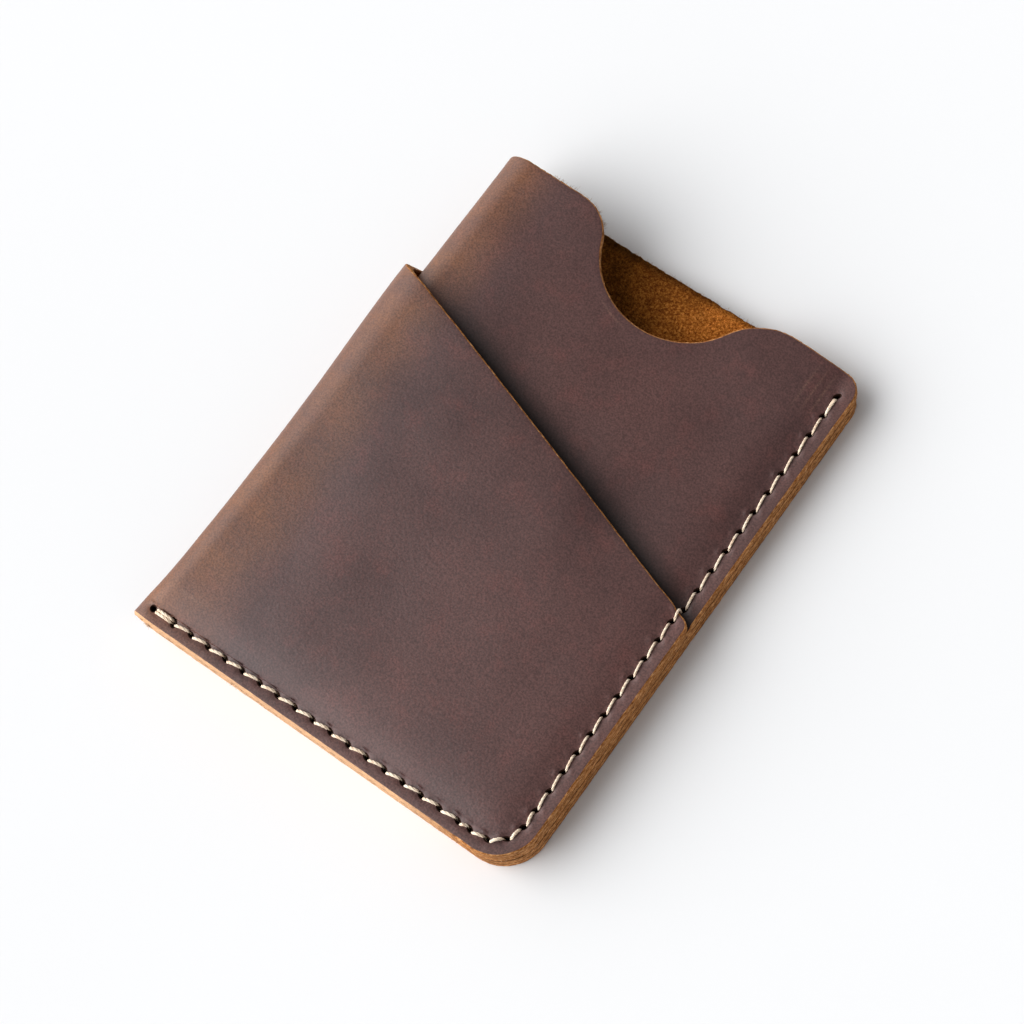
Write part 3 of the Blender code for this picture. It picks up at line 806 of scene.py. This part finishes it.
class Nodes:
    """A short way to build one material's node tree."""

    def __init__(self, name):
        self.material = bpy.data.materials.new(name)
        self.material.use_nodes = True
        self.tree = self.material.node_tree
        self.shader = self.tree.nodes["Principled BSDF"]

    def add(self, kind, inputs=None, **settings):
        node = self.tree.nodes.new("ShaderNode" + kind)
        for key, value in settings.items():
            setattr(node, key, value)
        for key, value in (inputs or {}).items():
            self.set(node.inputs[key], value)
        return node

    def set(self, socket, value):
        if isinstance(value, bpy.types.NodeSocket):
            self.tree.links.new(value, socket)
        else:
            socket.default_value = value

    def noise(self, scale, detail=2.0, rough=0.5, vector=None):
        inputs = {"Scale": scale, "Detail": detail, "Roughness": rough, "Vector": vector or self.place()}
        return self.add("TexNoise", inputs).outputs["Fac"]

    def place(self):
        return self.add("TexCoord").outputs["Object"]

    def stretched(self, vector, scale):
        return self.add("Mapping", {"Vector": vector, "Scale": scale}).outputs["Vector"]

    def ramp(self, value, *stops):
        node = self.add("ValToRGB", {"Fac": value})
        elements = node.color_ramp.elements
        while len(elements) < len(stops):
            elements.new(0.5)
        for element, (place, colour) in zip(elements, stops):
            element.position = place
            element.color = (*colour, 1)
        return node.outputs["Color"]

    def level(self, value, low, high, out_low=0.0, out_high=1.0):
        node = self.add("MapRange", {"Value": value, "From Min": low, "From Max": high})
        node.inputs["To Min"].default_value = out_low
        node.inputs["To Max"].default_value = out_high
        return node.outputs["Result"]

    def math(self, operation, a, b=0.0):
        node = self.add("Math", operation=operation)
        self.set(node.inputs[0], a)
        self.set(node.inputs[1], b)
        return node.outputs[0]

    def mix(self, factor, a, b, blend="MIX"):
        node = self.add("MixRGB", {"Fac": factor}, blend_type=blend)
        self.set(node.inputs["Color1"], a if isinstance(a, bpy.types.NodeSocket) else (*a, 1))
        self.set(node.inputs["Color2"], b if isinstance(b, bpy.types.NodeSocket) else (*b, 1))
        return node.outputs["Color"]

    def scaled(self, colour, factor):
        """A colour made darker or lighter by a factor."""
        grey = self.add("CombineXYZ", {"X": factor, "Y": factor, "Z": factor}).outputs["Vector"]
        return self.mix(1.0, colour, grey, "MULTIPLY")

    def pattern(self):
        """The pattern coordinates across and up, in metres."""
        uv = self.add("UVMap", uv_map="pattern").outputs["UV"]
        split = self.add("SeparateXYZ", {"Vector": uv})
        return split.outputs["X"], split.outputs["Y"]

    def near(self, value, centre, reach):
        """1 where the value is at a centre, 0 beyond its reach."""
        return self.level(self.math("ABSOLUTE", self.math("SUBTRACT", value, centre)), reach, 0.0)

    def depth(self):
        uv = self.add("UVMap", uv_map="depth").outputs["UV"]
        return self.add("SeparateXYZ", {"Vector": uv}).outputs["X"]

    def bump(self, height, distance, strength=1.0, normal=None):
        inputs = {"Height": height, "Distance": distance, "Strength": strength}
        node = self.add("Bump", inputs)
        if normal is not None:
            self.set(node.inputs["Normal"], normal)
        return node.outputs["Normal"]

    def finish(self, colour, roughness, normal, specular, sheen=0.0):
        self.set(self.shader.inputs["Base Color"], colour)
        self.set(self.shader.inputs["Roughness"], roughness)
        self.set(self.shader.inputs["Normal"], normal)
        self.shader.inputs["Specular IOR Level"].default_value = specular
        self.shader.inputs["Sheen Weight"].default_value = sheen
        self.shader.inputs["Sheen Roughness"].default_value = 0.6
        return self.material


def creases(n, q, y):
    """Faint pressed lines: by the top of the seam, below the notch and above the first stitch."""
    top = n.near(y, 0.090, 0.005)
    lines = [n.math("MULTIPLY", n.near(q, place, 0.00028), top) for place in (0.0683, 0.0698, 0.0712)]
    dx = n.math("SUBTRACT", q, NOTCH_X * MM)
    dy = n.math("SUBTRACT", y, (NOTCH_BOTTOM + NOTCH_R) * MM)
    square = n.math("ADD", n.math("MULTIPLY", dx, dx), n.math("MULTIPLY", dy, dy))
    below = n.near(n.math("SQRT", square), (NOTCH_R + 1.5) * MM, 0.0003)
    lines.append(n.math("MULTIPLY", below, n.near(q, 0.0365, 0.0035)))
    lines.append(n.math("MULTIPLY", n.near(y, 0.0076, 0.0005), n.near(q, 0.0085, 0.003)))
    total = lines[0]
    for line in lines[1:]:
        total = n.math("MAXIMUM", total, line)
    return total


def grain_material(name, painted_mouth_shadow):
    """Waxed pull-up leather: mottled purple brown, lighter where it is bent or pressed.

    For the sleeve, a painted shadow darkens the band just above the pocket's mouth, where the pocket's
    edge shades it.
    """
    n = Nodes(name)
    q, y = n.pattern()
    broad = n.noise(40, 3, 0.55)
    colour = n.ramp(broad, (0.28, (0.053, 0.024, 0.0225)), (0.72, (0.093, 0.0415, 0.0365)))
    red = n.level(n.noise(230, 3, 0.6), 0.52, 0.72)
    colour = n.mix(n.math("MULTIPLY", red, 0.35), colour, (0.13, 0.044, 0.038))
    uneven = n.level(n.noise(130, 3), 0.3, 0.7, 0.35, 1.0)
    fold = n.math("MULTIPLY", n.level(n.math("ABSOLUTE", q), 0.018, 0.002), uneven)
    colour = n.mix(n.math("MULTIPLY", fold, 0.72), colour, (0.23, 0.082, 0.020))
    colour = n.mix(n.math("MULTIPLY", creases(n, q, y), 0.3), colour, (0.22, 0.12, 0.085))
    edge = n.math("MAXIMUM", n.level(y, 0.0031, 0.0022), n.level(n.math("ABSOLUTE", q), 0.0728, 0.0737))
    colour = n.mix(n.math("MULTIPLY", edge, 0.3), colour, (0.13, 0.068, 0.058))
    if painted_mouth_shadow:
        # Painted shadow: nearly black up to 4.6 mm above the mouth line, as cast by the pocket's edge.
        above = n.math("ADD", y, n.math("MULTIPLY", q, MOUTH_SLOPE))
        above = n.math("SUBTRACT", above, (MOUTH_Y + MOUTH_SLOPE * (WIDTH - SIDE_INSET)) * MM)
        mouth_shadow_mask = n.math("MULTIPLY", n.level(above, 0.0046, 0.0, 0.0, 0.95), n.level(q, 0.009, 0.022))
        colour = n.mix(mouth_shadow_mask, colour, (0.008, 0.004, 0.003))
    worn = n.level(n.depth(), 0.997, 0.94)
    colour = n.mix(worn, colour, (0.42, 0.19, 0.07))
    fine = n.level(n.noise(3300, 3, 0.6), 0.36, 0.64, 0.68, 1.34)
    colour = n.scaled(colour, fine)
    pebbles = n.add("TexVoronoi", {"Vector": n.place(), "Scale": 2300.0}, feature="SMOOTH_F1")
    normal = n.bump(n.noise(700, 4, 0.65), 0.00008, 0.3)
    normal = n.bump(pebbles.outputs["Distance"], 0.00005, 0.4, normal)
    rough = n.level(n.noise(90, 3), 0.25, 0.75, 0.42, 0.52)
    return n.finish(colour, rough, normal, 0.42)


def flesh_material():
    """Suede: orange tan nap with dark pits."""
    n = Nodes("flesh")
    tone = n.noise(2600, 5, 0.9)
    pit, middle_tone, nap = (0.07, 0.015, 0.003), (0.36, 0.108, 0.017), (0.88, 0.35, 0.07)
    colour = n.ramp(tone, (0.36, pit), (0.5, middle_tone), (0.64, nap))
    q, y = n.pattern()
    # Painted shade: the suede darkens towards the fold side, where the raised front panel shades it; it is
    # also darker along its top lip.
    painted_shade_and_dark_lip = n.level(n.math("ABSOLUTE", q), 0.039, 0.054, 0.52, 1.2)
    painted_shade_and_dark_lip = n.math("MULTIPLY", painted_shade_and_dark_lip, n.level(y, 0.0935, 0.0948, 1.0, 0.35))
    broad = n.math("MULTIPLY", painted_shade_and_dark_lip, n.level(n.noise(300, 3), 0.3, 0.7, 0.75, 1.2))
    colour = n.scaled(colour, broad)
    normal = n.bump(tone, 0.0004, 0.8)
    return n.finish(colour, 0.95, normal, 0.0)


def edge_material():
    """Cut leather: orange tan fibres in fine layers, with a dark line of glue between the sheets."""
    n = Nodes("cut_edge")
    layered = n.stretched(n.place(), (1, 1, 3.0))
    streaks = n.noise(1500, 4, 0.7, layered)
    dark, tan, pale = (0.11, 0.032, 0.007), (0.42, 0.165, 0.045), (0.72, 0.38, 0.16)
    colour = n.ramp(streaks, (0.33, dark), (0.5, tan), (0.66, pale))
    broad = n.level(n.noise(260, 3, 0.6, layered), 0.3, 0.7, 0.65, 1.15)
    colour = n.scaled(colour, broad)
    q, y = n.pattern()
    # Painted highlight: the bottom cut edge, which faces the key light, is mixed towards pale cream,
    # though not round the corners.
    painted_bottom_highlight = n.math("MULTIPLY", n.level(y, 0.0012, 0.0004), n.level(n.math("ABSOLUTE", q), 0.066, 0.055))
    colour = n.mix(n.math("MULTIPLY", painted_bottom_highlight, 0.5), colour, (0.80, 0.52, 0.32))
    colour = n.mix(n.math("MULTIPLY", n.near(n.depth(), 0.04, 0.12), 0.75), colour, (0.03, 0.009, 0.003))
    normal = n.bump(streaks, 0.00018, 0.6)
    return n.finish(colour, 0.8, normal, 0.1)


def hole_material():
    """The walls of the awl slits, nearly black: painted shade inside the holes."""
    n = Nodes("slit_wall")
    colour = n.ramp(n.noise(900, 3), (0.3, (0.010, 0.004, 0.002)), (0.7, (0.03, 0.011, 0.006)))
    return n.finish(colour, 0.85, n.bump(n.noise(1500, 2), 0.0001, 0.4), 0.1)


def thread_material():
    """Waxed cream thread."""
    n = Nodes("thread")
    tone = n.noise(900, 3, 0.6)
    colour = n.ramp(tone, (0.3, (0.70, 0.49, 0.33)), (0.65, (0.94, 0.79, 0.61)))
    normal = n.bump(n.noise(3600, 2, 0.6), 0.00005, 0.5)
    return n.finish(colour, 0.55, normal, 0.4, 0.2)


def fibre_material():
    """Loose fibres of raw leather."""
    n = Nodes("fibre")
    colour = n.ramp(n.noise(400, 2), (0.35, (0.30, 0.16, 0.075)), (0.65, (0.62, 0.42, 0.24)))
    return n.finish(colour, 0.8, n.bump(n.noise(3000, 1), 0.00002, 0.2), 0.2, 0.2)


def floor_material():
    """Plain white paper."""
    n = Nodes("paper")
    colour = n.ramp(n.noise(9, 2), (0.3, (0.80, 0.80, 0.805)), (0.7, (0.81, 0.81, 0.815)))
    return n.finish(colour, 0.9, n.bump(n.noise(900, 2), 0.00002, 0.1), 0.0)


# ---------------------------------------------------------------- set

KEY_FROM = (-1.0, -0.76, 0.95)
KEY_POWER = 2.45
KEY_SOFTNESS = 66                # degrees across the light
ROOM_SIDE = (-0.80, -0.60, 0.0)  # towards the room's bright side
ROOM_DIM = 0.11
ROOM_BRIGHT = 2.5
ROOM_HORIZON = 0.42


def stage():
    """A pale floor, a soft key from the lower left, and a white room."""
    mesh = bpy.data.meshes.new("floor")
    size, below = 3.0, -0.00004
    corners = [(-size, -size, below), (size, -size, below), (size, size, below), (-size, size, below)]
    mesh.from_pydata(corners, [], [(0, 1, 2, 3)])
    mesh.materials.append(floor_material())
    floor = bpy.data.objects.new("floor", mesh)
    bpy.context.scene.collection.objects.link(floor)

    key = bpy.data.lights.new("key", "SUN")
    key.energy = KEY_POWER
    key.angle = math.radians(KEY_SOFTNESS)
    lamp = bpy.data.objects.new("key", key)
    lamp.rotation_mode = "QUATERNION"
    lamp.rotation_quaternion = Vector(KEY_FROM).to_track_quat("Z", "Y")
    bpy.context.scene.collection.objects.link(lamp)

    bpy.context.scene.world = room()
    bpy.context.scene.view_settings.view_transform = "Standard"


def blend(tree, low, high, at_low, at_high):
    """A node that runs from one value to another between two inputs."""
    node = tree.nodes.new("ShaderNodeMapRange")
    for name, value in (("From Min", low), ("From Max", high), ("To Min", at_low), ("To Max", at_high)):
        node.inputs[name].default_value = value
    return node


def room():
    """A white room, brighter on the key's side and near the horizon."""
    world = bpy.data.worlds.new("room")
    world.use_nodes = True
    tree = world.node_tree
    where = tree.nodes.new("ShaderNodeTexCoord")
    facing = tree.nodes.new("ShaderNodeVectorMath")
    facing.operation = "DOT_PRODUCT"
    facing.inputs[1].default_value = ROOM_SIDE
    glow = blend(tree, 0.12, 0.85, ROOM_DIM, ROOM_BRIGHT)
    height = tree.nodes.new("ShaderNodeSeparateXYZ")
    horizon = blend(tree, 0.3, 0.85, ROOM_HORIZON, 0.0)
    total = tree.nodes.new("ShaderNodeMath")
    background = tree.nodes["Background"]
    background.inputs["Color"].default_value = (0.98, 0.99, 1, 1)
    tree.links.new(where.outputs["Generated"], facing.inputs[0])
    tree.links.new(facing.outputs["Value"], glow.inputs["Value"])
    tree.links.new(where.outputs["Generated"], height.inputs[0])
    tree.links.new(height.outputs["Z"], horizon.inputs["Value"])
    tree.links.new(glow.outputs["Result"], total.inputs[0])
    tree.links.new(horizon.outputs["Result"], total.inputs[1])
    tree.links.new(total.outputs[0], background.inputs["Strength"])
    return world


def camera():
    """Seen from above the sewn side, tilted and turned."""
    data = bpy.data.cameras.new("camera")
    data.lens = 91.4
    data.sensor_width = 36
    data.clip_start = 0.01
    view = bpy.data.objects.new("camera", data)
    view.location = (Vector((177.593, -30.485, 385.873)) + ORIGIN) * MM
    heading, tilt, roll = (math.radians(a) for a in (60.269, 22.418, -25.600))
    turn = Euler((0, 0, heading)).to_matrix() @ Euler((tilt, 0, 0)).to_matrix()
    view.rotation_euler = (turn @ Euler((0, 0, roll)).to_matrix()).to_euler()
    bpy.context.scene.collection.objects.link(view)
    bpy.context.scene.camera = view


def main():
    camera()
    stage()
    grains = (grain_material("grain_sleeve", True), grain_material("grain_wrap", False))
    others = (flesh_material(), edge_material(), hole_material())
    card_sleeve, pocket_wrap = sleeve(), wrap()
    for piece, node, grain in zip((card_sleeve, pocket_wrap), ("inner_sleeve", "outer_wrap"), grains):
        for material in (grain, *others):
            piece.data.materials.append(material)
        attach(piece, "root")
        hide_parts(node)

    cream = thread_material()
    for name, points, phase in zip(("first", "second"), strand_paths(), (0.0, 1.1)):
        piece = strand("thread_" + name, points, phase)
        piece.data.materials.append(cream)
        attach(piece, "root")
        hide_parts("thread_strand_" + name)

    outline = sleeve_outline()
    roots = []
    for chosen, count, length, seed in (
        (lambda q, y: 14 < q < 27 and y > 88, 90, 0.8, 4),
        (lambda q, y: -60 < q < -18 and y > 90, 260, 0.6, 5),
        (lambda q, y: y < 1 and (3 < q < 6 or 19 < q < 22), 60, 0.6, 8),
        (lambda q, y: q > 70, 50, 0.35, 6),
    ):
        roots += edge_roots(outline, chosen, count, length, seed)
    hairs = fibres("sleeve_fibres", roots, 7)
    hairs.data.materials.append(fibre_material())
    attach(hairs, "root")


main()
